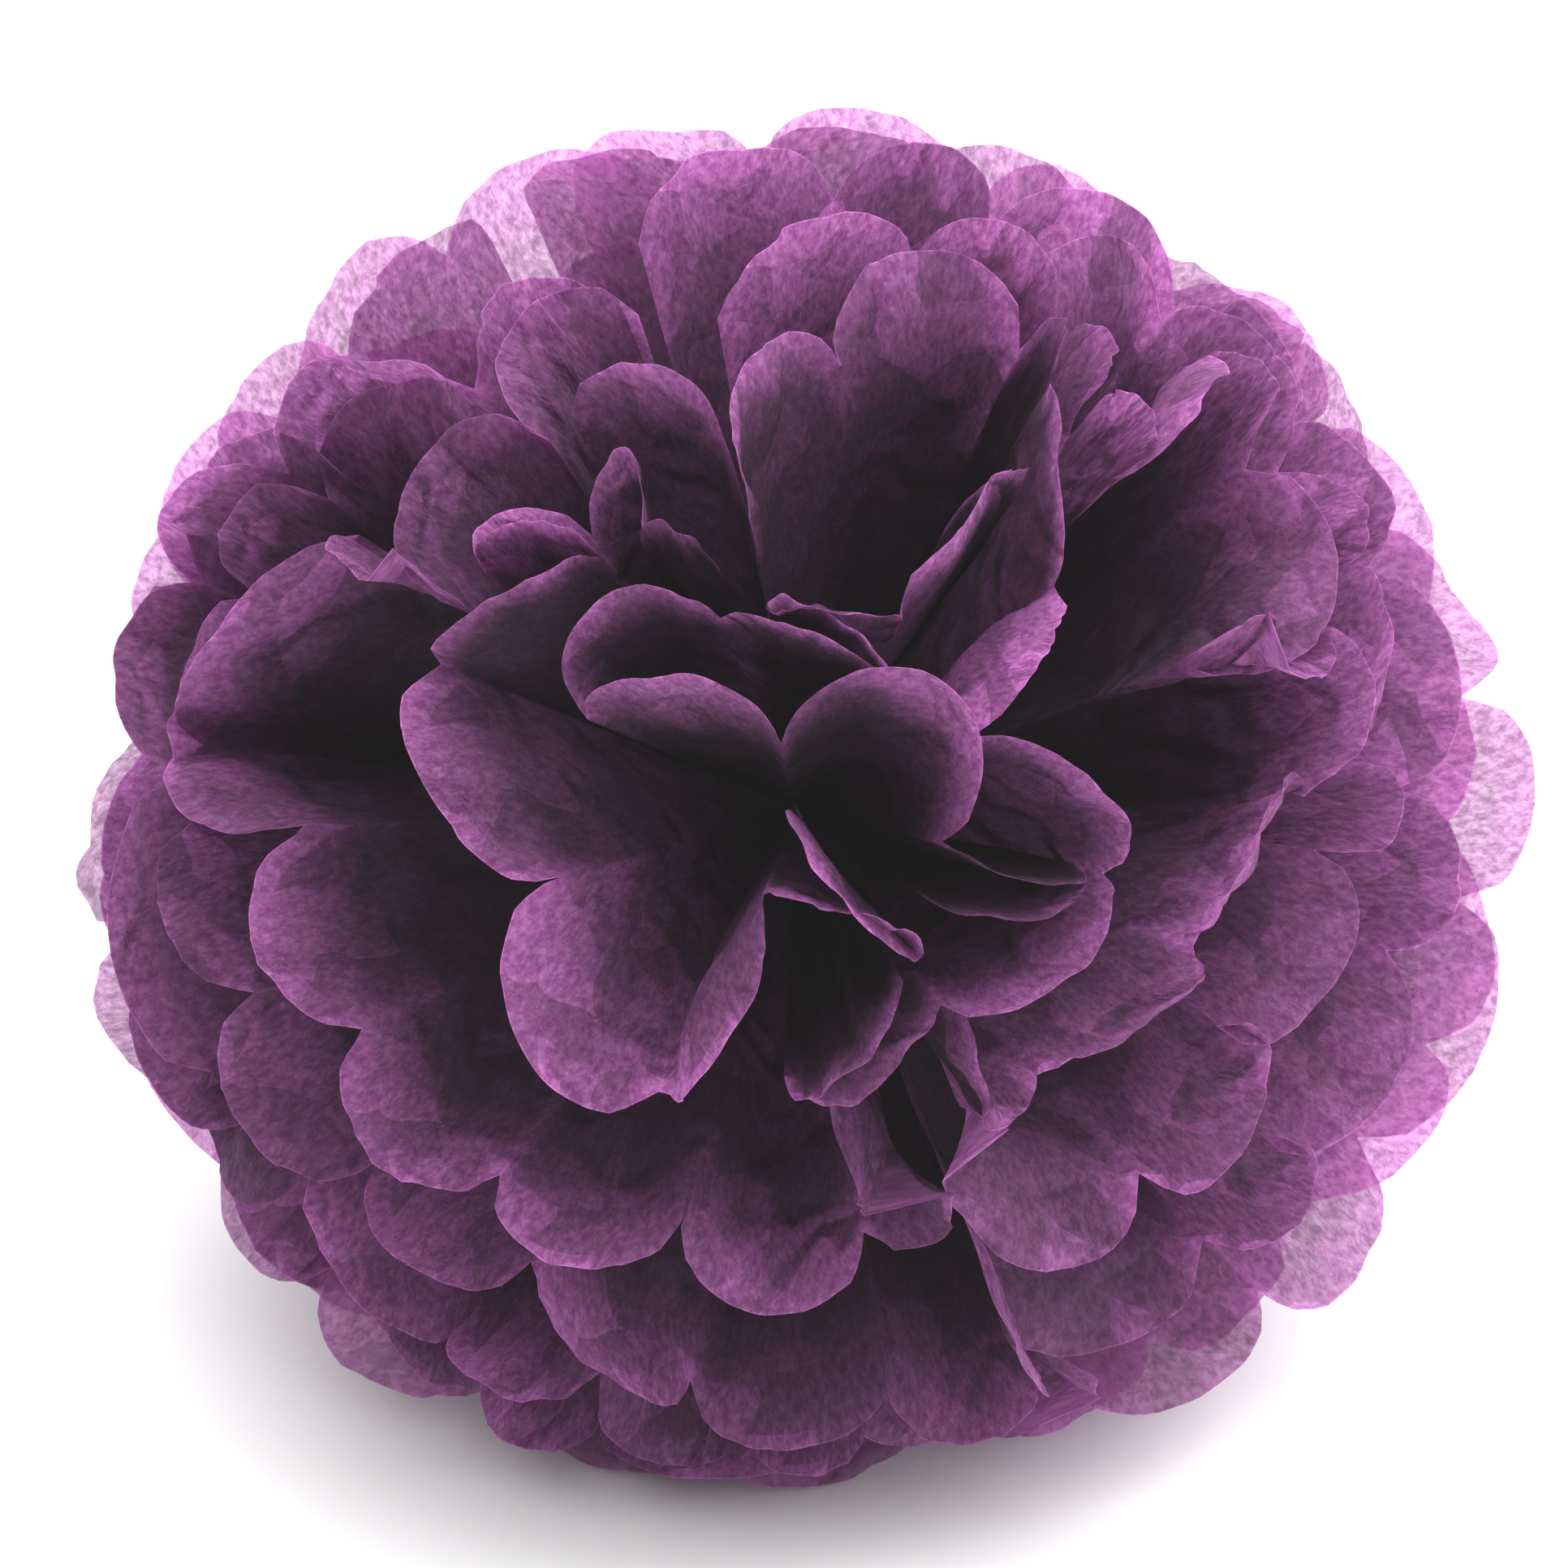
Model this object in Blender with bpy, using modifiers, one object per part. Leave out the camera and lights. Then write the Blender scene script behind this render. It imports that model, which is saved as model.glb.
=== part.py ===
"""Tissue paper pom pom: ten pleated sheets, tied at the waist and pulled apart into a ball of petals.

Metres, +Z up, origin on the floor below the middle of the ball. Angles are in degrees.
"""

import math
import random

import bpy
import numpy as np

# Paper
SHEET_LENGTH = 0.350
SHEET_WIDTH = 0.500
PAPER_THICKNESS = 0.00012
SCALLOP_DEPTH = 0.016

# Ball
POLE_ELEVATION = 30.0
BALL_HEIGHT = 0.322
SQUASH_ZONE = 0.045
FLAT_ZONE = 0.012
BEND_START = 0.095
SWELL_START = 0.040

# Gathered waist
WAIST_WIDTH = 0.014
WAIST_BEARING = 114.0
STRIP_HALF_WIDTH = 0.0012
SHEET_PITCH = 0.0014
NECK_LENGTH = 0.070

# Tie
WIRE_DIAMETER = 0.0012
WIRE_CLEARANCE = 0.0003
TWIST_LENGTH = 0.009
TWIST_TURNS = 2.0
TWIST_STEPS = 16
CORNER_SHARE = 0.8
CORNER_STEPS = 5

# Mesh steps
PETAL_ANGLES = (0.0, 60.0, 120.0, 180.0)
RULING_STATIONS = (0.015, 0.115)
MAP_STEP = 0.01

# Each notch between two scallops, from the bottom seam to the top seam of a half sheet:
# bearing round the pole, polar angle, lean of the paper at its tip, and the swell of the petal
# that follows, as a share of the pleat's width. The front pole is the hollow that faces the viewer.
FRONT_SHEETS = (
    (
        ((309, 16, 4, 0.02), (290, 3, 2, -0.04), (249, 8, 12, -0.12), (244, 28, 40, 0.22),
         (196, 21, 36, 0.14), (158, 34, 22, -0.08), (128, 27, 8, 0.04), (143, 34, 10, 0.04),
         (127, 29, 8, 0.28), (121, 25, 8, 0.04), (108, 21, 3, 0.00)),
        ((326, 13, 10, 0.06), (349, 24, 15, 0.08), (347, 13, 25, 0.32), (104, 6, 25, 0.10),
         (157, 19, 12, 0.18), (112, 17, 5, -0.04), (49, 13, 2, 0.02), (98, 17, 2, -0.04),
         (60, 18, 5, -0.02), (55, 34, 10, -0.02), (62, 27, 8, 0.00)),
    ),
    (
        ((276, 26, 18, -0.24), (279, 39, 12, 0.16), (255, 37, 12, 0.12), (231, 43, 10, 0.12),
         (207, 46, 10, 0.16), (182, 46, 10, 0.04), (174, 64, 5, 0.04), (148, 49, 10, 0.04),
         (149, 34, 10, 0.16), (124, 40, 10, 0.10), (108, 50, 10, 0.00)),
        ((278, 20, 8, 0.02), (285, 26, 15, 0.02), (306, 21, 15, 0.16), (348, 27, 18, 0.16),
         (22, 16, 12, -0.16), (41, 29, 3, -0.12), (59, 44, 2, 0.04), (64, 49, 8, 0.18),
         (84, 40, 10, 0.18), (99, 23, 10, 0.26), (120, 42, 20, 0.00)),
    ),
    (
        ((293, 45, 4, 0.02), (293, 66, 6, 0.12), (279, 60, 5, 0.08), (259, 62, 5, 0.10),
         (240, 51, 4, 0.04), (220, 55, 4, 0.10), (199, 59, 5, -0.12), (181, 64, 3, 0.08),
         (158, 66, 5, 0.04), (147, 57, 5, 0.12), (128, 43, 5, 0.00)),
        ((310, 23, 15, 0.24), (312, 31, 12, 0.02), (340, 38, 5, -0.04), (1, 49, 5, 0.12),
         (21, 53, 8, 0.02), (21, 38, 12, 0.24), (38, 59, 12, 0.08), (48, 60, 5, 0.02),
         (47, 42, 3, 0.06), (54, 42, 4, 0.04), (62, 53, 4, 0.00)),
    ),
    (
        ((295, 69, 3, 0.02), (293, 79, 5, 0.10), (276, 74, 3, 0.08), (263, 72, 3, 0.06),
         (252, 73, 3, 0.04), (235, 73, 3, 0.04), (217, 71, 3, 0.06), (202, 74, 3, 0.12),
         (177, 70, 3, 0.08), (158, 75, 3, 0.08), (145, 60, 3, 0.00)),
        ((301, 32, 4, 0.26), (311, 46, 5, 0.08), (333, 50, 5, 0.08), (356, 52, 5, 0.08),
         (3, 58, 5, 0.12), (22, 68, 5, 0.10), (37, 67, 5, 0.08), (51, 66, 5, 0.08),
         (60, 60, 5, 0.12), (80, 57, 5, 0.12), (98, 53, 5, 0.00)),
    ),
    (
        ((272, 82, 3, 0.08), (255, 81, 3, 0.08), (239, 80, 3, 0.08), (225, 80, 3, 0.08),
         (209, 80, 3, 0.08), (191, 80, 3, 0.10), (174, 79, 3, 0.08), (160, 79, 3, 0.06),
         (146, 72, 3, 0.06), (130, 60, 5, 0.08), (107, 58, 8, 0.00)),
        ((296, 54, 3, 0.16), (311, 69, 3, 0.10), (327, 65, 3, 0.10), (344, 65, 3, 0.10),
         (3, 70, 3, 0.10), (21, 76, 3, 0.10), (37, 78, 3, 0.10), (55, 77, 3, 0.10),
         (69, 74, 3, 0.10), (87, 71, 3, 0.10), (105, 73, 3, 0.00)),
    ),
    (
        ((288, 88, 3, 0.08), (268, 89, 3, 0.08), (250, 88, 3, 0.08), (232, 89, 3, 0.08),
         (215, 88, 3, 0.08), (198, 89, 3, 0.08), (181, 88, 3, 0.08), (164, 89, 3, 0.08),
         (147, 86, 3, 0.08), (129, 82, 3, 0.08), (112, 84, 3, 0.00)),
        ((298, 82, 3, 0.08), (315, 85, 3, 0.08), (332, 86, 3, 0.08), (349, 87, 3, 0.08),
         (6, 86, 3, 0.08), (23, 87, 3, 0.08), (40, 88, 3, 0.08), (57, 88, 3, 0.08),
         (74, 88, 3, 0.08), (90, 87, 3, 0.08), (106, 85, 3, 0.00)),
    ),
)

# Back sheets: polar angle of each from the back pole, how far its notches step in and out, and lean.
BACK_SHEETS = ((75, 3, 6), (61, 5, 8), (45, 6, 12), (26, 8, 20))
BACK_SEAM_GAP = 4.0
BACK_SWELL = 0.14
BEARING_JITTER = 2.0
POLAR_JITTER = 1.5
LEFT_SEED = 11
RIGHT_SEED = 61

PAPER_COLOUR = (0.42, 0.14, 0.40, 1.0)
PAPER_ROUGHNESS = 0.85
WIRE_COLOUR = (0.62, 0.62, 0.64, 1.0)
WIRE_ROUGHNESS = 0.35

PANELS = len(FRONT_SHEETS[0][0]) - 1
SHEET_COUNT = len(FRONT_SHEETS) + len(BACK_SHEETS)
PLEAT = SHEET_WIDTH / PANELS
HALF_LENGTH = SHEET_LENGTH / 2
NOTCH = HALF_LENGTH - SCALLOP_DEPTH
STACK_HEIGHT = SHEET_PITCH * (SHEET_COUNT - 1)


def unit(vectors):
    """Vectors at length one."""
    return vectors / np.maximum(np.linalg.norm(vectors, axis=-1, keepdims=True), 1e-9)


def heading(bearing):
    """Flat unit vector at a bearing round the pole."""
    return np.array([math.cos(math.radians(bearing)), math.sin(math.radians(bearing))])


def direction(places):
    """Unit vectors of map places: the length of a place is its polar angle, its heading the bearing."""
    polar = np.radians(np.linalg.norm(places, axis=-1))
    flat = unit(places) * np.sin(polar)[..., None]
    return np.concatenate([flat, np.cos(polar)[..., None]], axis=-1)


def across_ray(places, headings):
    """Unit vectors square to direction(places) that lead towards the given map headings."""
    return unit(direction(places + MAP_STEP * headings) - direction(places))


def bent_ruling(distance, lean):
    """Run along the ray and offset out from it, for paper that is straight and then bends by an arc."""
    bend_length = HALF_LENGTH - BEND_START
    bend = np.radians(lean)
    turned = bend * np.maximum(distance - BEND_START, 0.0) / bend_length
    radius = bend_length / bend
    along = np.minimum(distance, BEND_START) + radius * np.sin(turned)
    out = radius * (1.0 - np.cos(turned))
    return along, out


class HalfSheet:
    """One end of a pleated sheet: folds as rays from the tie, with a petal between each two."""

    def __init__(self, notches, pole_sign):
        self.pole_sign = pole_sign
        self.headings = np.array([heading(notch[0]) for notch in notches])
        self.leans = np.array([float(notch[2]) for notch in notches])
        self.swells = np.array([notch[3] * PLEAT for notch in notches])
        polar = np.array([float(notch[1]) for notch in notches])
        along, out = bent_ruling(np.full(len(notches), NOTCH), self.leans)
        lean_shift = np.degrees(np.arctan2(out, along))
        notch_places = self.headings * polar[:, None]
        self.places = self.headings * (polar - lean_shift)[:, None]
        self.swell_headings = self.find_swell_headings(notch_places)

    def find_swell_headings(self, notch_places):
        """Map heading square to each petal's chord, away from the pole, or towards it for a hollow petal."""
        chords = np.diff(notch_places, axis=0)
        middles = (notch_places[1:] + notch_places[:-1]) / 2
        square = unit(np.stack([chords[:, 1], -chords[:, 0]], axis=-1))
        away = np.where(np.sum(square * middles, axis=-1) < 0, -1.0, 1.0)
        return square * away[:, None]

    def points(self, petal, share, distance):
        """Points of a petal at shares across it and paper distances from the tie, in the pole's frame."""
        left = (1.0 - share)[:, None]
        right = share[:, None]
        places = left * self.places[petal] + right * self.places[petal + 1]
        headings = unit(left * self.headings[petal] + right * self.headings[petal + 1])
        leans = (1.0 - share) * self.leans[petal] + share * self.leans[petal + 1]
        along, out = bent_ruling(distance, leans)
        opening = np.clip((distance - SWELL_START) / (NOTCH - SWELL_START), 0.0, 1.0)
        swell = self.swells[petal] * opening * 4.0 * share * (1.0 - share)
        swell_headings = np.broadcast_to(self.swell_headings[petal], places.shape)
        points = along[:, None] * direction(places)
        points = points + out[:, None] * across_ray(places, headings)
        points = points + swell[:, None] * across_ray(places, swell_headings)
        points[:, 2] *= self.pole_sign
        return points


def waist_end(place):
    """Place along the gather line where a fold leaves the oval bundle, for the direction it takes."""
    toward = direction(place[None, :])[0]
    along = toward[:2] @ heading(WAIST_BEARING)
    half_width = WAIST_WIDTH / 2
    half_height = STACK_HEIGHT / 2
    return half_width ** 2 * along / math.hypot(half_width * along, half_height * toward[2])


def waist_points(sheet_index, half, fold_numbers, side):
    """Edge of the waist strip on one side: the folds lie evenly along the gather line."""
    share = fold_numbers / PANELS
    along = waist_end(half.places[0]) * (1.0 - share) + waist_end(half.places[-1]) * share
    outward = heading(WAIST_BEARING - 90.0) * side
    flat = along[:, None] * heading(WAIST_BEARING) + STRIP_HALF_WIDTH * outward
    level = np.full(len(fold_numbers), STACK_HEIGHT / 2 - SHEET_PITCH * sheet_index)
    return np.column_stack([flat, level])


def half_rows(sheet_index, half, side):
    """Rows of points of half a sheet, from the waist out to the scalloped rim."""
    shares = 0.5 - 0.5 * np.cos(np.radians(PETAL_ANGLES))
    columns = [(petal, share) for petal in range(PANELS) for share in shares[:-1]]
    columns.append((PANELS - 1, 1.0))
    petals = [petal for petal, share in columns]
    column_shares = np.array([share for petal, share in columns])
    waist = waist_points(sheet_index, half, np.array(petals) + column_shares, side)
    scallops = NOTCH + SCALLOP_DEPTH * np.sqrt(np.maximum(1.0 - (2.0 * column_shares - 1.0) ** 2, 0.0))
    rows = [waist]
    for distance in [np.full(len(columns), station) for station in RULING_STATIONS] + [scallops]:
        row = np.array([
            half.points(petal, column_shares[i:i + 1], distance[i:i + 1])[0]
            for i, petal in enumerate(petals)
        ])
        gathered = np.clip(1.0 - distance / NECK_LENGTH, 0.0, 1.0)
        rows.append(row + gathered[:, None] * waist)
    return rows


def pole_to_world(points):
    """Turn points from the pole's frame to the world: the front pole looks up and to the viewer."""
    tilt = math.radians(POLE_ELEVATION)
    right = np.array([1.0, 0.0, 0.0])
    up = np.array([0.0, math.sin(tilt), math.cos(tilt)])
    pole = np.array([0.0, -math.cos(tilt), math.sin(tilt)])
    return points @ np.array([right, up, pole])


def rest_on_floor(points):
    """Stand the ball on the floor: its underside is pressed in, and the lowest rims level out."""
    height = points[:, 2] + BALL_HEIGHT - HALF_LENGTH
    sunk = SHEET_LENGTH - BALL_HEIGHT
    squash = (SQUASH_ZONE + FLAT_ZONE) / (SQUASH_ZONE + sunk)
    pressed = SQUASH_ZONE - (SQUASH_ZONE - height) * squash
    placed = points.copy()
    placed[:, 2] = np.where(height < SQUASH_ZONE, pressed, height)
    placed[:, 2] = np.maximum(placed[:, 2], PAPER_THICKNESS / 2)
    return placed


def new_material(name, colour, roughness, metallic=0.0):
    """Principled material of one colour."""
    material = bpy.data.materials.new(name)
    material.use_nodes = True
    shader = material.node_tree.nodes["Principled BSDF"]
    shader.inputs["Base Color"].default_value = colour
    shader.inputs["Roughness"].default_value = roughness
    shader.inputs["Metallic"].default_value = metallic
    material.diffuse_color = colour
    return material


def new_sheet(name, sheet_index, halves, collection):
    """One sheet of tissue: an open pleated surface from rim to rim, given the paper's thickness."""
    left_rows = half_rows(sheet_index, halves[0], -1.0)
    right_rows = half_rows(sheet_index, halves[1], 1.0)
    rows = left_rows[::-1] + right_rows
    width = len(rows[0])
    points = rest_on_floor(pole_to_world(np.concatenate(rows)))
    faces = [
        (r * width + c, r * width + c + 1, (r + 1) * width + c + 1, (r + 1) * width + c)
        for r in range(len(rows) - 1)
        for c in range(width - 1)
    ]
    mesh = bpy.data.meshes.new(name)
    mesh.from_pydata(points.tolist(), [], faces)
    mesh.materials.append(new_material(name + "_tissue", PAPER_COLOUR, PAPER_ROUGHNESS))
    sheet = bpy.data.objects.new(name, mesh)
    collection.objects.link(sheet)
    solidify = sheet.modifiers.new("paper thickness", "SOLIDIFY")
    solidify.thickness = PAPER_THICKNESS
    solidify.offset = 0.0
    solidify.use_even_offset = False
    return sheet


def back_notches(sheet, first_bearing, last_bearing, seed):
    """Notches of a half sheet behind the ball: evenly spread, stepping in and out of their ring."""
    polar, step, lean = sheet
    chance = random.Random(seed)
    notches = []
    for fold in range(PANELS + 1):
        bearing = first_bearing + (last_bearing - first_bearing) * fold / PANELS
        bearing += chance.uniform(-BEARING_JITTER, BEARING_JITTER)
        in_or_out = step if fold % 2 else -step
        ring = polar + in_or_out + chance.uniform(-POLAR_JITTER, POLAR_JITTER)
        notches.append((bearing, ring, lean, BACK_SWELL))
    return notches


def all_half_sheets():
    """Left and right halves of every sheet, from the front pole to the back pole."""
    halves = [[HalfSheet(notches, 1.0) for notches in pair] for pair in FRONT_SHEETS]
    for number, sheet in enumerate(BACK_SHEETS):
        top = WAIST_BEARING
        left = back_notches(sheet, top + 180.0 - BACK_SEAM_GAP, top + BACK_SEAM_GAP, LEFT_SEED + number)
        right = back_notches(sheet, top - 180.0 + BACK_SEAM_GAP, top - BACK_SEAM_GAP, RIGHT_SEED + number)
        halves.append([HalfSheet(left, -1.0), HalfSheet(right, -1.0)])
    return halves


def tie_path():
    """Centre line of the wire: a twisted tail, once round the gathered waist, and back down the twist."""
    radius = WIRE_DIAMETER / 2
    clear = WIRE_CLEARANCE + PAPER_THICKNESS / 2 + radius
    half_width = WAIST_WIDTH / 2 + clear
    half_height = STACK_HEIGHT / 2 + clear
    corner = half_height * CORNER_SHARE
    strand = radius + WIRE_CLEARANCE / 2
    loop = []
    for centre_w, centre_h, start in (
        (-(half_width - corner), half_height - corner, 180.0),
        (half_width - corner, half_height - corner, 90.0),
        (half_width - corner, -(half_height - corner), 0.0),
        (-(half_width - corner), -(half_height - corner), -90.0),
    ):
        for step in range(CORNER_STEPS):
            angle = math.radians(start - 90.0 * step / (CORNER_STEPS - 1))
            loop.append((0.0, centre_w + corner * math.cos(angle), centre_h + corner * math.sin(angle)))
    loop[0] = (0.0, -half_width, strand)
    loop[-1] = (0.0, -half_width, -strand)
    twist_start = half_width + 2.0 * radius
    first = []
    second = []
    for step in range(TWIST_STEPS + 1):
        share = step / TWIST_STEPS
        angle = math.radians(90.0 + 360.0 * TWIST_TURNS * share)
        along = -(twist_start + TWIST_LENGTH * share)
        offset = (strand * math.cos(angle), strand * math.sin(angle))
        first.append((offset[0], along, offset[1]))
        second.append((-offset[0], along, -offset[1]))
    return first[::-1] + loop + second


def new_tie(collection):
    """The wire that holds the waist, its two ends twisted together."""
    gather = heading(WAIST_BEARING)
    side = heading(WAIST_BEARING - 90.0)
    path = np.array(tie_path())
    flat = path[:, :1] * side + path[:, 1:2] * gather
    points = rest_on_floor(pole_to_world(np.column_stack([flat, path[:, 2]])))
    curve = bpy.data.curves.new("centre_tie", "CURVE")
    curve.dimensions = "3D"
    curve.bevel_depth = WIRE_DIAMETER / 2
    curve.bevel_resolution = 2
    curve.use_fill_caps = True
    spline = curve.splines.new("POLY")
    spline.points.add(len(points) - 1)
    for point, place in zip(spline.points, points):
        point.co = (place[0], place[1], place[2], 1.0)
    curve.materials.append(new_material("tie_wire", WIRE_COLOUR, WIRE_ROUGHNESS, metallic=1.0))
    tie = bpy.data.objects.new("centre_tie", curve)
    collection.objects.link(tie)
    return tie


def build():
    """Build the pom pom in its own collection."""
    for leftover in list(bpy.data.objects):
        bpy.data.objects.remove(leftover, do_unlink=True)
    collection = bpy.data.collections.new("tissue_pom_pom")
    bpy.context.scene.collection.children.link(collection)
    for index, halves in enumerate(all_half_sheets()):
        new_sheet(f"sheet_{index + 1:02d}", index, halves, collection)
    new_tie(collection)


build()
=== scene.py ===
"""Tissue paper pom pom: ten pleated sheets opened into a ball, lying on a white surface.

Metres and degrees. The front pole is the hollow that faces the viewer.
"""

import math
import random

import bpy
import numpy as np
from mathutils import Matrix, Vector

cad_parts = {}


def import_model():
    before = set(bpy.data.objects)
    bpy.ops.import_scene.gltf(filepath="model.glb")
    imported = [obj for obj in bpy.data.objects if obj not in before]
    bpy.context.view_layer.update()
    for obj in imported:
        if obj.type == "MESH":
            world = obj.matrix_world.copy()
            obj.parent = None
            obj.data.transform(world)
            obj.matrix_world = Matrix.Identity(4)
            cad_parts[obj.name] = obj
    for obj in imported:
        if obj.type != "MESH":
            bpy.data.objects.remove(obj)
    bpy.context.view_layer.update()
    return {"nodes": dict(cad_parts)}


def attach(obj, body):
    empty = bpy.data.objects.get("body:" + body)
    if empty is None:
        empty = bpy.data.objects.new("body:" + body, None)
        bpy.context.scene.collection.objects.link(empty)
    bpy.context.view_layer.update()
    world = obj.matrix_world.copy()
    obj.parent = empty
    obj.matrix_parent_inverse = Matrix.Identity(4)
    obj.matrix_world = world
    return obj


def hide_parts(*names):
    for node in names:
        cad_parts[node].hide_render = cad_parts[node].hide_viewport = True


# Paper
SHEET_LENGTH = 0.350
SHEET_WIDTH = 0.500
SCALLOP_DEPTH = 0.016
BEND_START = 0.095
SWELL_START = 0.030

# Ball
POLE_ELEVATION = 30.0
BALL_HEIGHT = 0.322
SQUASH_ZONE = 0.045
FLAT_ZONE = 0.012
FLOOR_CLEARANCE = 0.0002

# Gathered waist
WAIST_WIDTH = 0.014
WAIST_BEARING = 114.0
STRIP_HALF_WIDTH = 0.0012
SHEET_PITCH = 0.0014
NECK_LENGTH = 0.070

# Fine mesh
COLUMNS_PER_PETAL = 20
ROWS = 56
FINE_COLUMNS_PER_PETAL = 28
FINE_ROWS = 80
FINE_SHEETS = 3
ROW_SPREAD = 0.85
FOLD_ANGLE = 38.0

# Crumples, as wavelength and height, and the share of them in each sheet
CRUMPLES = ((0.045, 0.0036), (0.021, 0.0024), (0.0095, 0.0010))
CRUMPLE_SHARES = (0.5, 0.75, 1.0, 1.0, 1.0, 1.0, 1.0, 1.0, 1.0, 1.0)
CRUMPLE_STRETCH = (1.4, 0.8)
CRUMPLE_GROWTH = 1.5
RIDGE_SHARE = 0.6
RIDGE_SHARPNESS = 2.6
CREASE_COUNT = 6.0
CREASE_LENGTH = 0.12
CREASE_HEIGHT = 0.0014
CREASE_FADE = 1.15
RIM_WAVES = ((0.030, 0.0030), (0.011, 0.0008))
RIM_WAVE_DEPTH = 0.034
FLUTTER_ROW = 3.3
FOLD_STIFFNESS = 6.0
FOLD_GIVE = 0.35

# Rims that curl over: length of paper that turns, and how far it turns
CURL_LENGTH = 0.032
CURL_LEAST = -30.0
CURL_MOST = 60.0
CURL_TAPER = 0.6
LEAST_TURN = 0.01

# Short straight snips that cut each scallop
SNIPS = 12
SNIP_ERROR = 0.035
SNIP_SPREAD = 0.3

# Camera and picture
CAMERA_DISTANCE = 1.5
PICTURE_SIZE = 1932.0
BALL_CENTRE_X = 982.0
BALL_CENTRE_Y = 996.0
BALL_RADIUS_PX = 876.0
SENSOR_WIDTH = 36.0
VIEW_END = 50.0

# Each notch between two scallops, from the bottom seam to the top seam of a half sheet:
# bearing round the pole, polar angle, lean of the paper at its tip, and the swell of the petal
# that follows, as a share of the pleat's width.
FRONT_SHEETS = (
    (
        ((191, 1, 2, 0.02), (309, 16, 4, -0.06), (249, 8, 12, -0.08), (244, 28, 40, 0.14),
         (196, 21, 36, -0.02), (158, 34, 22, -0.08), (128, 27, 8, 0.04), (143, 34, 10, 0.04),
         (127, 29, 8, 0.28), (121, 25, 8, 0.04), (108, 21, 3, 0.00)),
        ((326, 13, 10, 0.06), (349, 24, 15, 0.08), (347, 13, 25, 0.32), (104, 6, 25, 0.10),
         (157, 19, 12, 0.18), (112, 17, 5, -0.04), (49, 13, 2, 0.02), (98, 17, 2, -0.04),
         (60, 18, 5, -0.02), (55, 34, 10, -0.02), (62, 27, 8, 0.00)),
    ),
    (
        ((276, 26, 18, -0.24), (279, 39, 12, 0.16), (255, 37, 12, 0.12), (231, 43, 10, 0.12),
         (207, 46, 10, 0.16), (182, 46, 10, 0.04), (174, 64, 5, 0.04), (148, 49, 10, 0.04),
         (149, 34, 10, 0.16), (124, 40, 10, 0.10), (108, 50, 10, 0.00)),
        ((302, 17, 8, 0.02), (267, 23, 15, 0.02), (306, 21, 15, 0.03), (348, 27, 18, 0.10),
         (22, 16, 12, -0.16), (41, 29, 3, -0.04), (59, 44, 2, 0.04), (64, 49, 8, 0.18),
         (84, 40, 10, 0.18), (99, 23, 10, 0.26), (120, 42, 20, 0.00)),
    ),
    (
        ((293, 45, 4, 0.02), (293, 66, 6, 0.12), (279, 60, 5, 0.08), (259, 62, 5, 0.10),
         (240, 51, 4, 0.04), (220, 55, 4, 0.10), (199, 59, 5, -0.12), (181, 64, 3, 0.08),
         (158, 66, 5, 0.04), (147, 57, 5, 0.12), (128, 43, 5, 0.00)),
        ((310, 23, 15, 0.24), (312, 31, 12, 0.02), (340, 38, 5, -0.04), (1, 49, 5, 0.12),
         (21, 53, 8, 0.02), (21, 38, 12, 0.24), (38, 59, 12, 0.08), (48, 60, 5, 0.02),
         (47, 42, 3, 0.06), (54, 42, 4, 0.04), (62, 53, 4, 0.00)),
    ),
    (
        ((295, 69, 3, 0.02), (293, 79, 5, 0.10), (276, 74, 3, 0.08), (263, 72, 3, 0.06),
         (252, 73, 3, 0.04), (235, 73, 3, 0.04), (217, 71, 3, 0.06), (202, 74, 3, 0.12),
         (177, 70, 3, 0.08), (158, 75, 3, 0.08), (145, 60, 3, 0.00)),
        ((301, 32, 4, 0.26), (311, 46, 5, 0.08), (333, 50, 5, 0.08), (356, 52, 5, 0.08),
         (3, 58, 5, 0.12), (22, 68, 5, 0.10), (37, 67, 5, 0.08), (51, 66, 5, 0.08),
         (60, 60, 5, 0.12), (80, 57, 5, 0.12), (98, 53, 5, 0.00)),
    ),
    (
        ((272, 82, 3, 0.08), (255, 81, 3, 0.08), (239, 80, 3, 0.08), (225, 80, 3, 0.08),
         (209, 80, 3, 0.08), (191, 80, 3, 0.10), (174, 79, 3, 0.08), (158, 81, 3, 0.08),
         (144, 66, 3, 0.20), (127, 47, 8, 0.16), (107, 58, 8, 0.00)),
        ((296, 54, 3, 0.16), (311, 69, 3, 0.10), (327, 65, 3, 0.10), (344, 65, 3, 0.10),
         (3, 70, 3, 0.10), (21, 76, 3, 0.10), (37, 78, 3, 0.10), (55, 77, 3, 0.10),
         (69, 74, 3, 0.10), (87, 71, 3, 0.10), (105, 73, 3, 0.00)),
    ),
    (
        ((299, 89, 3, 0.08), (281, 90, 3, 0.08), (262, 88, 3, 0.08), (244, 90, 3, 0.08),
         (226, 88, 3, 0.08), (208, 90, 3, 0.08), (190, 88, 3, 0.08), (171, 90, 3, 0.08),
         (153, 87, 3, 0.08), (135, 84, 3, 0.08), (117, 81, 3, 0.00)),
        ((296, 80, 3, 0.08), (314, 84, 3, 0.08), (332, 87, 3, 0.08), (350, 86, 3, 0.08),
         (8, 88, 3, 0.08), (26, 86, 3, 0.08), (44, 89, 3, 0.08), (62, 87, 3, 0.08),
         (80, 89, 3, 0.08), (98, 88, 3, 0.08), (116, 90, 3, 0.00)),
    ),
)

# Least and most reach of each sheet's folds beside the paper's length
REACHES = (
    (0.99, 1.00), (0.98, 1.00), (0.96, 1.00), (0.94, 1.02), (0.92, 1.02),
    (0.97, 1.06), (0.97, 1.07), (0.95, 1.05), (0.95, 1.02), (0.94, 1.00),
)

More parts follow.
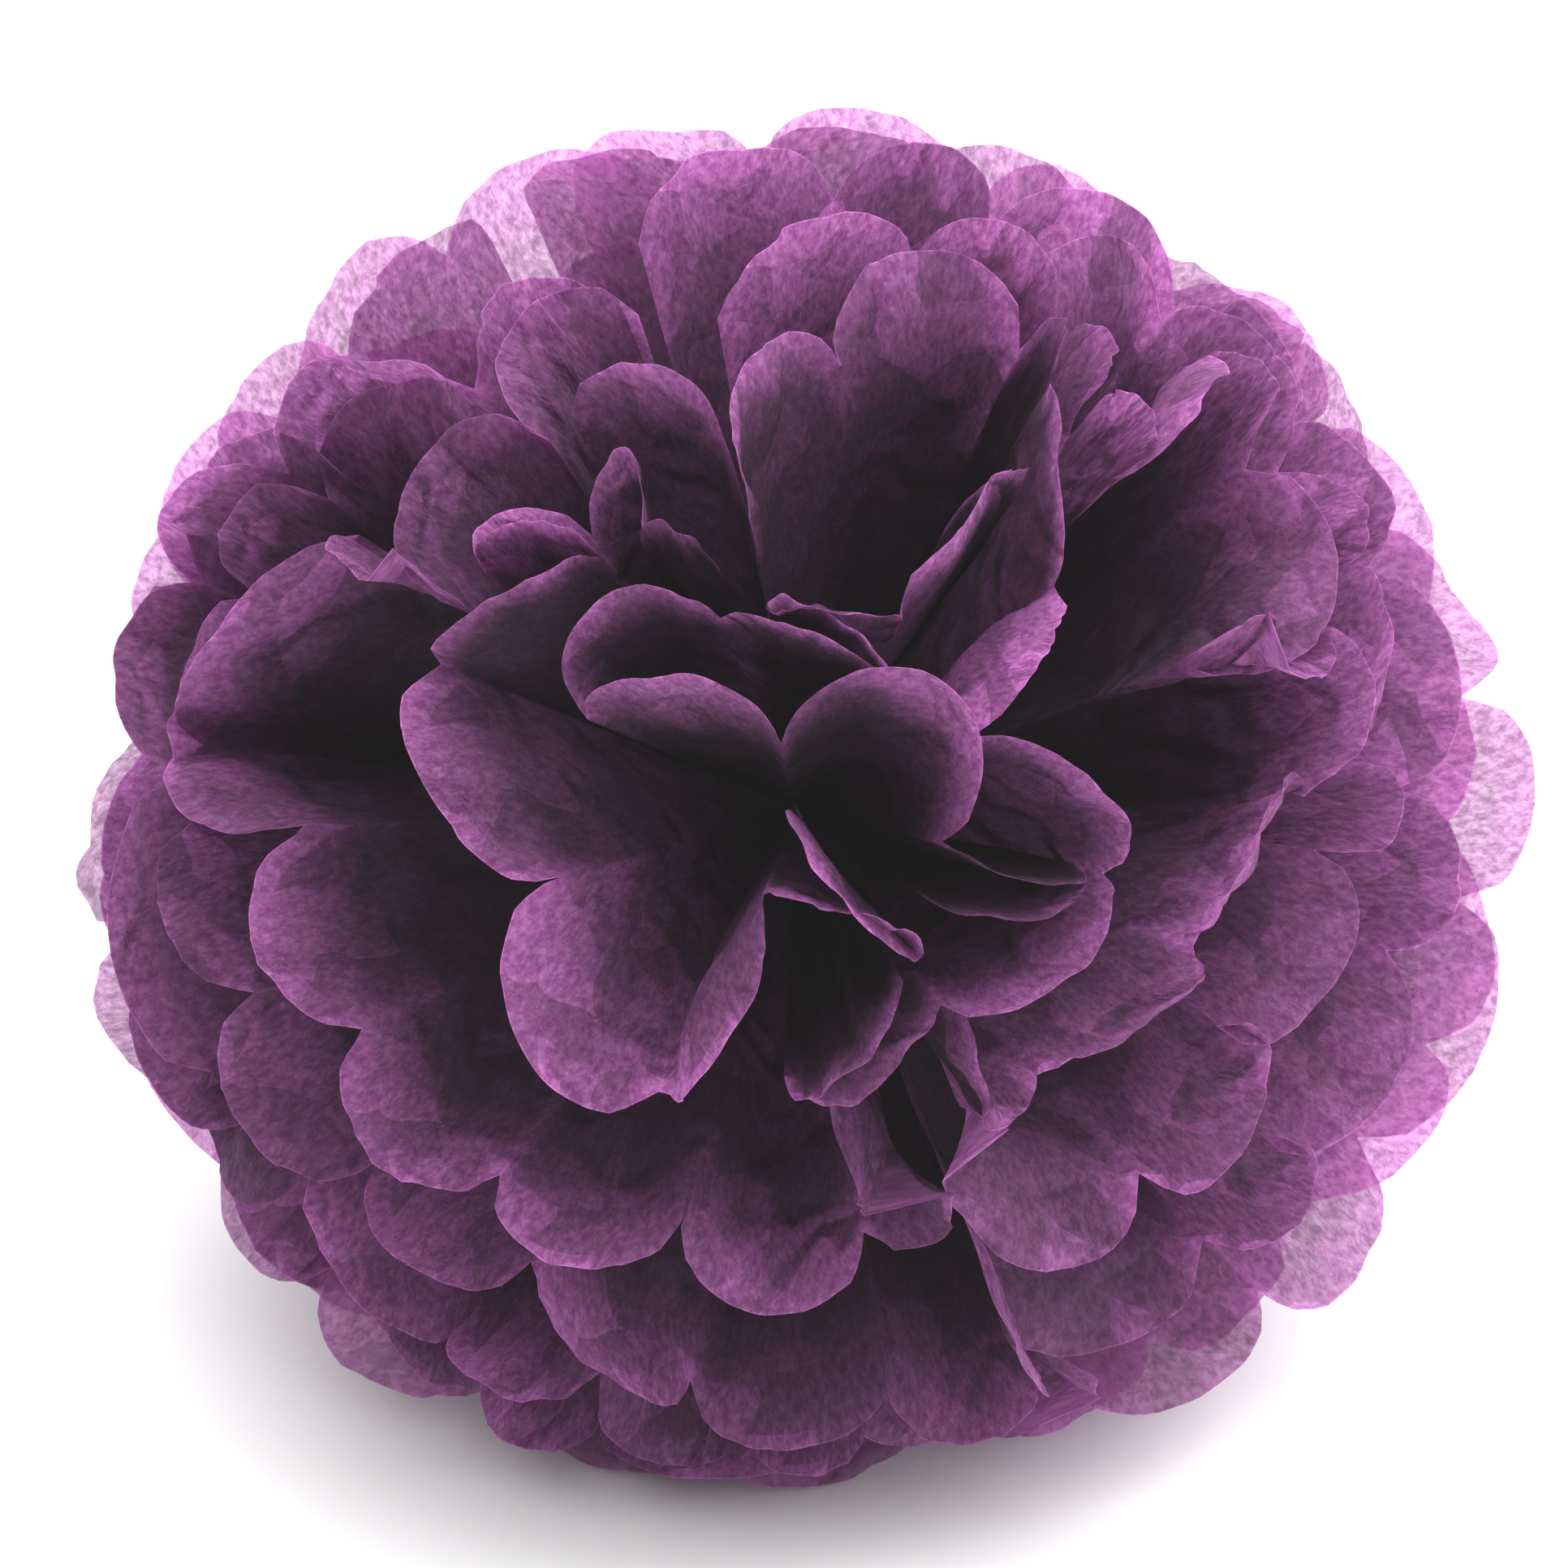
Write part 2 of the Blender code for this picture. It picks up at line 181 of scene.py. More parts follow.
# Steps in and out of the notches of the outer rings, and their unevenness
LOOSENESS = {2: (0.5, 1.0), 3: (2.5, 2.5), 4: (5.0, 3.0), 5: (7.0, 2.5)}

# Petals whose rims turn over by more than chance gives them: degrees, and length of paper that turns
CURLS = {
    "L1": {
        0: (10, 0.030, None), 1: (-20, 0.030, None), 2: (40, 0.035, 332), 3: (25, 0.030, None),
        4: (55, 0.028, None), 5: (0, 0.030, None), 6: (0, 0.020, None), 7: (0, 0.020, None),
        8: (0, 0.030, None), 9: (0, 0.030, None),
    },
    "R1": {
        0: (0, 0.030, None), 1: (0, 0.030, None), 2: (15, 0.030, None), 3: (10, 0.030, None),
        4: (15, 0.030, None), 5: (0, 0.030, None), 6: (0, 0.030, None), 7: (-35, 0.020, None),
        8: (25, 0.035, 150), 9: (0, 0.030, None),
    },
    "R2": {
        0: (0, 0.030, None), 1: (0, 0.030, None), 2: (10, 0.030, None), 3: (10, 0.030, None),
        4: (35, 0.035, 332), 5: (0, 0.020, None), 6: (0, 0.020, None), 8: (25, 0.030, 170),
        9: (10, 0.030, None),
    },
    "R3": {1: (-40, 0.022, None), 2: (-75, 0.024, None)},
    "L3": {3: (-45, 0.025, None), 7: (-60, 0.025, None)},
    "R4": {2: (70, 0.030, None), 4: (-50, 0.025, None), 7: (65, 0.030, None)},
    "L4": {1: (65, 0.030, None), 4: (-45, 0.025, None), 6: (70, 0.030, None)},
}

# Painted light and shade on the paper: the length from the rim over which the light fades in each
# sheet, what is left of it deep in, each sheet's gain, the bearing painted in shade, and how much petals
# differ
LIT_BANDS = (0.034, 0.040, 0.046, 0.046, 0.048, 0.055, 0.065, 0.065, 0.065, 0.065)
DEEP_PAINTED_LIGHT = 0.17
FADE_POWER = 1.6
SHEET_GAINS = (1.0, 1.0, 0.95, 0.95, 1.05, 1.3, 1.6, 1.5, 1.2, 1.2)
SHADED_BEARING = 240.0
SHADED_SHARE = 0.36
GAIN_LEAST = 0.80
GAIN_MOST = 1.25

# Petals whose painted light and shade differ from their sheet's: gain and length of the lit band
PAINTED_LIGHT_PETALS = {
    "L1": {
        0: (1.3, 0.045), 1: (1.1, 0.020), 2: (1.15, 0.040), 3: (1.25, 0.060), 4: (1.2, 0.024),
        5: (0.8, 0.013), 8: (0.9, 0.020), 9: (0.4, 0.012),
    },
    "R1": {
        0: (0.4, 0.020), 1: (0.4, 0.020), 2: (0.9, 0.024), 3: (0.9, 0.040), 4: (0.8, 0.018),
        5: (0.8, 0.010), 6: (0.9, 0.010), 7: (0.8, 0.012), 8: (1.2, 0.020), 9: (0.5, 0.012),
    },
    "R2": {
        0: (0.7, 0.020), 1: (0.7, 0.020), 2: (0.9, 0.026), 3: (0.8, 0.022), 4: (1.7, 0.060),
        5: (1.0, 0.010), 6: (0.7, 0.020), 8: (1.2, 0.020), 9: (0.6, 0.024),
    },
}

# Back sheets: polar angle of each from the back pole, how far its notches step in and out, and lean
BACK_SHEETS = ((79, 8, 6), (63, 8, 8), (46, 8, 12), (27, 9, 20))
BACK_SEAM_GAP = -4.0
BACK_SEAM_SHIFT = 7.0
BACK_SWELL = 0.14
BEARING_JITTER = 2.0
POLAR_JITTER = 1.5

# Seeds of what is left to chance, and the grid that noise repeats after
SEED = 11
RIGHT_BACK_SEED = 50
LEFT_LOOSE_SEED = 100
RIGHT_LOOSE_SEED = 150
REACH_SEED = 3
SNIP_SEED = 7
CREASE_SEED = 11
RIM_WAVE_SEED = 13
SHEET_SEED = 1000
SHEET_SEED_STEP = 40
NOISE_SIZE = 64

# Tissue: linear colours, patterns as counts per metre of paper, and reliefs in metres
TISSUE_LIGHT = (0.43, 0.156, 0.400, 1.0)
TISSUE_DARK = (0.20, 0.049, 0.184, 1.0)
GLOW_GAIN = 1.7
THROUGH_COLOUR = (0.90, 0.66, 0.87, 1.0)
TRANSLUCENCY = 0.50
THIN_SHEETS = (5, 6, 7)
CLEAR_LEAST = 0.16
CLEAR_MOST = 0.52
PATTERN_SCALE = 520.0
STREAK_TURNS = (25.0, -40.0)
STREAK_STRETCH = 0.55
FLECK_START = 0.44
FLECK_END = 0.76
FLECK_BUMP = 0.0009
# Painted highlight along the cut rim: its width and gain
RIM_HIGHLIGHT_WIDTH = 0.0004
RIM_HIGHLIGHT_GAIN = 1.9
WRINKLE_SCALE = 45.0
WRINKLE_HEIGHT = 0.012
FACET_SCALE = 75.0
FACET_BEND_SCALE = 60.0
FACET_BEND = 0.012
# Painted light and shade on crumpled facets: where the lighter ones start, and the least and most gain
FACET_RARITY = 0.35
FACET_PAINTED_SHADE = 0.84
FACET_PAINTED_LIGHT = 1.42
TISSUE_ROUGHNESS = 0.85

# Tie, floor and picture: linear colours
WIRE_DARK = (0.42, 0.42, 0.44, 1.0)
WIRE_LIGHT = (0.66, 0.66, 0.68, 1.0)
WIRE_ROUGHNESS = 0.32
WIRE_STREAK_SCALE = 900.0
FLOOR_WHITE = (0.93, 0.93, 0.93, 1.0)
FLOOR_ROUGHNESS = 0.9
FLOOR_GLOSS = 0.1
FLOOR_HALF_WIDTH = 6.0
BLACK_LIFT = 0.012

# Light
BACKDROP_STRENGTH = 2.2
BACK_STRENGTH = 2.2
FRONT_STRENGTH = 0.08
BRIGHT_SIDE = (0.50, 0.87, 0.0)
DIM_END = -0.75
BRIGHT_END = 0.35
LAMP_PLACE = (0.5, 0.1, 1.6)
LAMP_POWER = 17.0
LAMP_WIDTH = 2.4
FLOOR_LAMP_PLACE = (0.0, -1.0, 1.3)
FLOOR_LAMP_POWER = 20.0
FLOOR_LAMP_WIDTH = 1.2
LIGHT_BOUNCES = 3
CLEAR_BOUNCES = 4

PANELS = len(FRONT_SHEETS[0][0]) - 1
SHEET_COUNT = len(FRONT_SHEETS) + len(BACK_SHEETS)
PLEAT = SHEET_WIDTH / PANELS
HALF_LENGTH = SHEET_LENGTH / 2
NOTCH = HALF_LENGTH - SCALLOP_DEPTH
STACK_HEIGHT = SHEET_PITCH * (SHEET_COUNT - 1)
CENTRE_HEIGHT = BALL_HEIGHT - HALF_LENGTH
MAP_STEP = 0.01


def unit(vectors):
    """Vectors at length one."""
    return vectors / np.maximum(np.linalg.norm(vectors, axis=-1, keepdims=True), 1e-12)


def heading(bearing):
    """Flat unit vector at a bearing round the pole."""
    return np.array([math.cos(math.radians(bearing)), math.sin(math.radians(bearing))])


def direction(places):
    """Unit vectors of map places: the length of a place is its polar angle, its heading the bearing."""
    polar = np.radians(np.linalg.norm(places, axis=-1))
    flat = unit(places) * np.sin(polar)[..., None]
    return np.concatenate([flat, np.cos(polar)[..., None]], axis=-1)


def across_ray(places, headings):
    """Unit vectors square to direction(places) that lead towards the given map headings."""
    return unit(direction(places + MAP_STEP * headings) - direction(places))


def bent_ruling(distance, lean):
    """Run along the ray and offset out from it, for paper that is straight and then bends by an arc."""
    bend_length = HALF_LENGTH - BEND_START
    bend = np.radians(lean)
    turned = bend * np.maximum(distance - BEND_START, 0.0) / bend_length
    radius = bend_length / bend
    along = np.minimum(distance, BEND_START) + radius * np.sin(turned)
    out = radius * (1.0 - np.cos(turned))
    return along, out


class Noise:
    """Smooth random heights over a plane, about -1 to 1, the same each run."""

    def __init__(self, seed):
        self.size = NOISE_SIZE
        self.table = np.random.default_rng(seed).uniform(-1.0, 1.0, (self.size, self.size))

    def at(self, x, y):
        """Height at points of the plane whose grid is one unit wide."""
        column = np.floor(x).astype(int)
        row = np.floor(y).astype(int)
        fx = x - column
        fy = y - row
        fx = fx * fx * (3.0 - 2.0 * fx)
        fy = fy * fy * (3.0 - 2.0 * fy)
        c0, c1 = column % self.size, (column + 1) % self.size
        r0, r1 = row % self.size, (row + 1) % self.size
        low = self.table[r0, c0] * (1.0 - fx) + self.table[r0, c1] * fx
        high = self.table[r1, c0] * (1.0 - fx) + self.table[r1, c1] * fx
        return low * (1.0 - fy) + high * fy


class HalfSheet:
    """One end of a pleated sheet: folds as rays from the tie, with a petal between each two."""

    def __init__(self, name, sheet, notches, pole_sign, side, level, seed, fine):
        self.pole_sign = pole_sign
        self.side = side
        self.level = level
        self.seed = seed
        self.columns = FINE_COLUMNS_PER_PETAL if fine else COLUMNS_PER_PETAL
        self.rows = FINE_ROWS if fine else ROWS
        self.headings = np.array([heading(notch[0]) for notch in notches])
        self.leans = np.array([float(notch[2]) for notch in notches])
        self.swells = np.array([notch[3] * PLEAT for notch in notches])
        polar = np.array([float(notch[1]) for notch in notches])
        along, out = bent_ruling(np.full(len(notches), NOTCH), self.leans)
        lean_shift = np.degrees(np.arctan2(out, along))
        notch_places = self.headings * polar[:, None]
        self.places = self.headings * (polar - lean_shift)[:, None]
        self.swell_headings = self.find_swell_headings(notch_places)
        chance = np.random.default_rng(seed + REACH_SEED)
        least, most = REACHES[sheet]
        self.reaches = chance.uniform(least, most, PANELS + 1)
        self.turns = chance.uniform(CURL_LEAST, CURL_MOST, PANELS)
        self.curl_lengths = np.full(PANELS, CURL_LENGTH)
        self.curl_headings = np.zeros((PANELS, 2))
        self.crumpled = CRUMPLE_SHARES[sheet]
        self.gains = SHEET_GAINS[sheet] * chance.uniform(GAIN_LEAST, GAIN_MOST, PANELS)
        # Painted shade on the petals that face the shaded bearing
        toward_shade = np.maximum(self.headings[:-1] @ heading(SHADED_BEARING), 0.0)
        self.gains *= 1.0 - SHADED_SHARE * toward_shade
        self.bands = np.full(PANELS, LIT_BANDS[sheet])
        for number, (gain, band) in PAINTED_LIGHT_PETALS.get(name, {}).items():
            self.gains[number] = gain
            self.bands[number] = band
        for number, (turn, length, bearing) in CURLS.get(name, {}).items():
            self.turns[number] = turn
            self.curl_lengths[number] = length
            if bearing is not None:
                self.curl_headings[number] = heading(bearing)

    def find_swell_headings(self, notch_places):
        """Map heading square to each petal's chord, away from the pole."""
        chords = np.diff(notch_places, axis=0)
        middles = (notch_places[1:] + notch_places[:-1]) / 2
        square = unit(np.stack([chords[:, 1], -chords[:, 0]], axis=-1))
        away = np.where(np.sum(square * middles, axis=-1) < 0, -1.0, 1.0)
        return square * away[:, None]

    def reach(self, petal, share):
        """Share of its full length at which the paper stands out from the tie, from fold to fold."""
        return (1.0 - share) * self.reaches[petal] + share * self.reaches[petal + 1]

    def base_points(self, petal, share, distance):
        """Points of petals at shares across them and paper distances from the tie, in the pole's frame."""
        left = (1.0 - share)[:, None]
        right = share[:, None]
        places = left * self.places[petal] + right * self.places[petal + 1]
        headings = unit(left * self.headings[petal] + right * self.headings[petal + 1])
        leans = (1.0 - share) * self.leans[petal] + share * self.leans[petal + 1]
        along, out = bent_ruling(distance, leans)
        opening = np.clip((distance - SWELL_START) / (NOTCH - SWELL_START), 0.0, 1.0)
        swell = self.swells[petal] * opening * 4.0 * share * (1.0 - share)
        points = (along * self.reach(petal, share))[:, None] * direction(places)
        points = points + out[:, None] * across_ray(places, headings)
        points = points + swell[:, None] * across_ray(places, self.swell_headings[petal])
        points[:, 2] *= self.pole_sign
        return points

    def waist(self, fold_numbers):
        """Edge of the waist strip: the folds lie evenly along the gather line."""
        share = fold_numbers / PANELS
        along = waist_end(self.places[0]) * (1.0 - share) + waist_end(self.places[-1]) * share
        outward = heading(WAIST_BEARING - 90.0) * self.side
        flat = along[:, None] * heading(WAIST_BEARING) + STRIP_HALF_WIDTH * outward
        return np.column_stack([flat, np.full(len(fold_numbers), self.level)])

    def rim_distance(self, petal, share):
        """Paper distance of the cut rim from the tie: a scallop, cut in short straight snips."""
        chance = np.random.default_rng(self.seed + SNIP_SEED)
        moved = chance.uniform(-SNIP_SPREAD, SNIP_SPREAD, (PANELS, SNIPS - 1))
        corners = np.sort((np.arange(1, SNIPS) + moved) / SNIPS)
        corners = np.concatenate([np.zeros((PANELS, 1)), corners, np.ones((PANELS, 1))], axis=1)
        cut = np.sqrt(np.maximum(1.0 - (2.0 * corners - 1.0) ** 2, 0.0))
        cut[:, 1:-1] += chance.uniform(-SNIP_ERROR, SNIP_ERROR, (PANELS, SNIPS - 1))
        arc = np.empty_like(share)
        for number in range(PANELS):
            here = petal == number
            arc[here] = np.interp(share[here], corners[number], cut[number])
        return np.minimum(NOTCH + SCALLOP_DEPTH * arc, HALF_LENGTH)

    def crumple(self, petal, share, distance, rim):
        """Heights of creases and crumples across the paper, in metres."""
        u = (petal + share) * PLEAT
        grown = np.clip(distance / HALF_LENGTH, 0.0, 1.0)
        height = np.zeros_like(u)
        for number, (wavelength, size) in enumerate(CRUMPLES):
            noise = Noise(self.seed + number)
            wave = noise.at(u / wavelength * CRUMPLE_STRETCH[0], distance / wavelength * CRUMPLE_STRETCH[1])
            ridge = 1.0 - RIDGE_SHARPNESS * np.abs(wave)
            height += size * ((1.0 - RIDGE_SHARE) * wave + RIDGE_SHARE * ridge) * grown ** CRUMPLE_GROWTH
        creases = Noise(self.seed + CREASE_SEED)
        lines = creases.at((petal + share) * CREASE_COUNT, distance / CREASE_LENGTH)
        lines = 1.0 - 2.0 * np.abs(lines)
        height += CREASE_HEIGHT * lines * grown * (CREASE_FADE - grown)
        near_rim = np.clip(1.0 - (rim - distance) / RIM_WAVE_DEPTH, 0.0, 1.0)
        for number, (wavelength, size) in enumerate(RIM_WAVES):
            noise = Noise(self.seed + RIM_WAVE_SEED + number)
            flutter = noise.at(u / wavelength, np.full_like(u, FLUTTER_ROW))
            height += size * flutter * near_rim ** 2
        fold_guard = np.minimum(1.0, FOLD_STIFFNESS * np.minimum(share, 1.0 - share) + FOLD_GIVE)
        return height * fold_guard * self.crumpled

    def curled(self, points, paper, petal, share):
        """Points with the rim of each petal turned over: outwards where the turn is positive."""
        turn = np.radians(self.turns[petal]) * (4.0 * share * (1.0 - share)) ** CURL_TAPER
        turn = np.where(np.abs(turn) < LEAST_TURN, LEAST_TURN, turn)
        length = self.curl_lengths[petal]
        radius = length / turn
        start = np.argmax(paper[:, :, 2] < length, axis=0)
        columns = np.arange(points.shape[1])
        normals = grid_normals(points)
        tangents = unit(np.gradient(points, axis=0))
        from_pole = self.pole_sign * pole_side(normals[start, columns])
        asked = np.sum(normals[start, columns, :2] * self.curl_headings[petal], axis=-1)
        from_pole = np.where(np.abs(asked) > 0.0, np.sign(asked), from_pole)
        base = points[start, columns]
        tangent = tangents[start, columns]
        normal = normals[start, columns] * from_pole[:, None]
        left_over = paper[start, columns, 2]
        made = points.copy()
        for row in range(len(points)):
            run = left_over - paper[row, :, 2]
            beyond = run > 0.0
            angle = run / radius
            along = tangent * (radius * np.sin(angle))[:, None]
            out = normal * (radius * (1.0 - np.cos(angle)))[:, None]
            arc = base + along + out
            made[row] = np.where(beyond[:, None], arc, points[row])
        return made

    def painted_light(self, petal, share, gap):
        """Painted light and shade: share of the light taken to reach the paper, at gaps from the rim, little
        deep among the petals.
        """
        reached = np.clip(1.0 - gap / self.bands[petal], 0.0, 1.0) ** FADE_POWER
        return self.gains[petal] * (DEEP_PAINTED_LIGHT + (1.0 - DEEP_PAINTED_LIGHT) * reached)

    def grid(self):
        """Fine points of the half sheet, as rows from the waist to the rim, with paper coordinates."""
        count = PANELS * self.columns + 1
        fold_numbers = np.arange(count) / self.columns
        petal = np.minimum(fold_numbers.astype(int), PANELS - 1)
        share = fold_numbers - petal
        rim = self.rim_distance(petal, share)
        rows = []
        paper = []
        for number in range(self.rows + 1):
            distance = rim * (number / self.rows) ** ROW_SPREAD
            points = self.base_points(petal, share, distance)
            gathered = np.clip(1.0 - distance / NECK_LENGTH, 0.0, 1.0)
            rows.append(points + gathered[:, None] * self.waist(fold_numbers))
            gap = rim - distance
            # Painted light and shade, kept beside the paper coordinates
            painted_light = self.painted_light(petal, share, gap)
            paper.append(np.column_stack([(petal + share) * PLEAT, self.side * distance, gap, painted_light]))
        points = self.curled(np.array(rows), np.array(paper), petal, share)
        normals = grid_normals(points)
        for number in range(1, self.rows + 1):
            distance = np.abs(paper[number][:, 1])
            height = self.crumple(petal, share, distance, rim)
            points[number] += height[:, None] * normals[number]
        return points, np.array(paper)


def pole_side(normals):
    """1 where a normal points away from the pole's axis direction, else -1."""
    return np.where(normals[:, 2] < 0.0, 1.0, -1.0)


def grid_normals(points):
    """Unit normals of a grid of points."""
    along = np.gradient(points, axis=0)
    across = np.gradient(points, axis=1)
    return unit(np.cross(along, across))


def waist_end(place):
    """Place along the gather line where a fold leaves the oval bundle, for the direction it takes."""
    toward = direction(place[None, :])[0]
    along = toward[:2] @ heading(WAIST_BEARING)
    half_width = WAIST_WIDTH / 2
    half_height = STACK_HEIGHT / 2
    return half_width ** 2 * along / math.hypot(half_width * along, half_height * toward[2])


def pole_axes():
    """World directions of the pole frame's right, up and pole."""
    tilt = math.radians(POLE_ELEVATION)
    right = np.array([1.0, 0.0, 0.0])
    up = np.array([0.0, math.sin(tilt), math.cos(tilt)])
    pole = np.array([0.0, -math.cos(tilt), math.sin(tilt)])
    return np.array([right, up, pole])


def rest_on_floor(points):
    """Stand the ball on the floor: its underside is pressed flat, and the lowest rims level out."""
    height = points[..., 2] + CENTRE_HEIGHT
    sunk = SHEET_LENGTH - BALL_HEIGHT
    squash = (SQUASH_ZONE + FLAT_ZONE) / (SQUASH_ZONE + sunk)
    pressed = SQUASH_ZONE - (SQUASH_ZONE - height) * squash
    placed = points.copy()
    placed[..., 2] = np.where(height < SQUASH_ZONE, pressed, height)
    placed[..., 2] = np.maximum(placed[..., 2], FLOOR_CLEARANCE)
    return placed


def back_notches(sheet, first_bearing, last_bearing, seed):
    """Notches of a half sheet behind the ball: evenly spread, stepping in and out of their ring."""
    polar, step, lean = sheet
    chance = random.Random(seed)
    notches = []
    for fold in range(PANELS + 1):
        bearing = first_bearing + (last_bearing - first_bearing) * fold / PANELS
        bearing += chance.uniform(-BEARING_JITTER, BEARING_JITTER)
        in_or_out = step if fold % 2 else -step
        ring = polar + in_or_out + chance.uniform(-POLAR_JITTER, POLAR_JITTER)
        notches.append((bearing, ring, lean, BACK_SWELL))
    return notches


def loosened(notches, index, seed):
    """Notches of an outer ring, stepped in and out by turns and a little uneven."""
    step, jitter = LOOSENESS.get(index, (0.0, 0.0))
    chance = random.Random(seed)
    loose = []
    for number, (bearing, polar, lean, swell) in enumerate(notches):
        in_or_out = step if number % 2 else -step
        bearing += chance.uniform(-jitter, jitter)
        polar += in_or_out + chance.uniform(-jitter, jitter)
        loose.append((bearing, polar, lean, swell))
    return loose


def half_sheets(index):
    """Left and right half of a sheet, counted from the front pole."""
    level = STACK_HEIGHT / 2 - SHEET_PITCH * index
    fine = index < FINE_SHEETS
    if index < len(FRONT_SHEETS):
        left, right = FRONT_SHEETS[index]
        left = loosened(left, index, SEED + LEFT_LOOSE_SEED + index)
        right = loosened(right, index, SEED + RIGHT_LOOSE_SEED + index)
        sign = 1.0
    else:
        number = index - len(FRONT_SHEETS)
        shift = BACK_SEAM_SHIFT if number % 2 else -BACK_SEAM_SHIFT
        bottom = WAIST_BEARING + 180.0 + shift
        top = WAIST_BEARING + shift
        sheet = BACK_SHEETS[number]
        gap = BACK_SEAM_GAP
        left = back_notches(sheet, bottom - gap, top + gap, SEED + number)
        right = back_notches(sheet, bottom - 360.0 + gap, top - gap, SEED + RIGHT_BACK_SEED + number)
        sign = -1.0
    seed = SHEET_SEED + SHEET_SEED_STEP * index
    return (
        HalfSheet(f"L{index + 1}", index, left, sign, -1.0, level, seed, fine),
        HalfSheet(f"R{index + 1}", index, right, sign, 1.0, level, seed + SHEET_SEED_STEP // 2, fine),
    )


def new_object(name, points, faces, material):
    """Mesh object of a single material."""
    mesh = bpy.data.meshes.new(name)
    mesh.from_pydata(points, [], faces)
    mesh.materials.append(material)
    thing = bpy.data.objects.new(name, mesh)
    bpy.context.scene.collection.objects.link(thing)
    return thing


def new_sheet(index, material):
    """One whole sheet of tissue, storing its paper coordinates, rim distance and painted light and shade."""
    left, right = half_sheets(index)
    left_points, left_paper = left.grid()
    right_points, right_paper = right.grid()
    points = np.concatenate([left_points[::-1], right_points])
    paper = np.concatenate([left_paper[::-1], right_paper])
    rows, columns = points.shape[:2]
    world = rest_on_floor(points @ pole_axes())
    faces = [
        (r * columns + c, r * columns + c + 1, (r + 1) * columns + c + 1, (r + 1) * columns + c)
        for r in range(rows - 1)
        for c in range(columns - 1)
    ]
    name = f"tissue_{index + 1:02d}"
    sheet = new_object(name, world.reshape(-1, 3).tolist(), faces, material)
    mesh = sheet.data
    flat_paper = paper.reshape(-1, paper.shape[2])
    corners = np.empty(len(mesh.loops), dtype=np.int32)
    mesh.loops.foreach_get("vertex_index", corners)
    layer = mesh.uv_layers.new(name="paper")
    layer.uv.foreach_set("vector", flat_paper[corners, :2].ravel())
    for column, label in ((2, "rim_distance"), (3, "painted_light")):
        values = mesh.attributes.new(label, "FLOAT", "POINT")
        values.data.foreach_set("value", flat_paper[:, column].astype(np.float32))
    mesh.shade_smooth()
    mesh.set_sharp_from_angle(angle=math.radians(FOLD_ANGLE))
    return sheet


def node(tree, kind, **inputs):
    """Shader node with some inputs set."""
    made = tree.nodes.new(kind)
    for name, value in inputs.items():
        made.inputs[name.replace("_", " ")].default_value = value
    return made


def joined(tree, operation, first, second):
    """Result of a math operation on two outputs."""
    made = node(tree, "ShaderNodeMath")
    made.operation = operation
    tree.links.new(first, made.inputs[0])
    tree.links.new(second, made.inputs[1])
    return made.outputs[0]


def attribute(tree, name):
    """Value stored at the points of the mesh."""
    made = node(tree, "ShaderNodeAttribute")
    made.attribute_name = name
    return made.outputs["Fac"]


def fibre_streaks(tree, paper, turn):
    """Noise drawn out along one direction of the paper, like brushed fibres."""
    turned = node(tree, "ShaderNodeMapping")
    turned.inputs["Rotation"].default_value[2] = math.radians(turn)
    turned.inputs["Scale"].default_value = (1.0, STREAK_STRETCH, 1.0)
    streaks = node(
        tree, "ShaderNodeTexNoise",
        Scale=PATTERN_SCALE, Detail=3.0, Roughness=0.66, Distortion=0.10,
    )
    tree.links.new(paper, turned.inputs["Vector"])
    tree.links.new(turned.outputs["Vector"], streaks.inputs["Vector"])
    return streaks.outputs["Fac"]


def painted_facet_light(tree, paper):
    """Painted light and shade on flat patches between creases: some a little darker and some lighter."""
    bend = node(tree, "ShaderNodeTexNoise", Scale=FACET_BEND_SCALE, Detail=1.0)
    tree.links.new(paper, bend.inputs["Vector"])
    shifted = node(tree, "ShaderNodeVectorMath")
    shifted.operation = "MULTIPLY_ADD"
    shifted.inputs[1].default_value = (FACET_BEND, FACET_BEND, 0.0)
    tree.links.new(bend.outputs["Color"], shifted.inputs[0])
    tree.links.new(paper, shifted.inputs[2])
    facets = node(tree, "ShaderNodeTexVoronoi", Scale=FACET_SCALE)
    tree.links.new(shifted.outputs["Vector"], facets.inputs["Vector"])
    facet = node(tree, "ShaderNodeSeparateColor")
    tree.links.new(facets.outputs["Color"], facet.inputs["Color"])
    patch = node(tree, "ShaderNodeMapRange", From_Min=FACET_RARITY, To_Min=FACET_PAINTED_SHADE, To_Max=FACET_PAINTED_LIGHT)
    tree.links.new(facet.outputs["Red"], patch.inputs["Value"])
    return patch.outputs["Result"]


def paper_colour(tree, paper, flecks):
    """Mauve with light flecks, with painted shade deep among the petals, painted light and shade on facets
    and a painted highlight along the cut rim.
    """
    ramp = node(tree, "ShaderNodeValToRGB")
    ramp.color_ramp.elements[0].position = FLECK_START
    ramp.color_ramp.elements[0].color = TISSUE_DARK
    ramp.color_ramp.elements[1].position = FLECK_END
    ramp.color_ramp.elements[1].color = TISSUE_LIGHT
    tree.links.new(flecks, ramp.inputs["Fac"])
    # Painted highlight along the cut rim
    rim_highlight = node(tree, "ShaderNodeMapRange", From_Max=RIM_HIGHLIGHT_WIDTH, To_Min=RIM_HIGHLIGHT_GAIN, To_Max=1.0)
    tree.links.new(attribute(tree, "rim_distance"), rim_highlight.inputs["Value"])
    # Painted light and shade stored on the mesh
    lit = joined(tree, "MULTIPLY", attribute(tree, "painted_light"), rim_highlight.outputs["Result"])
    # Painted light and shade on crumpled facets
    level = joined(tree, "MULTIPLY", lit, painted_facet_light(tree, paper))
    shade = node(tree, "ShaderNodeVectorMath")
    shade.operation = "SCALE"
    tree.links.new(ramp.outputs["Color"], shade.inputs[0])
    tree.links.new(level, shade.inputs["Scale"])
    return shade.outputs["Vector"]


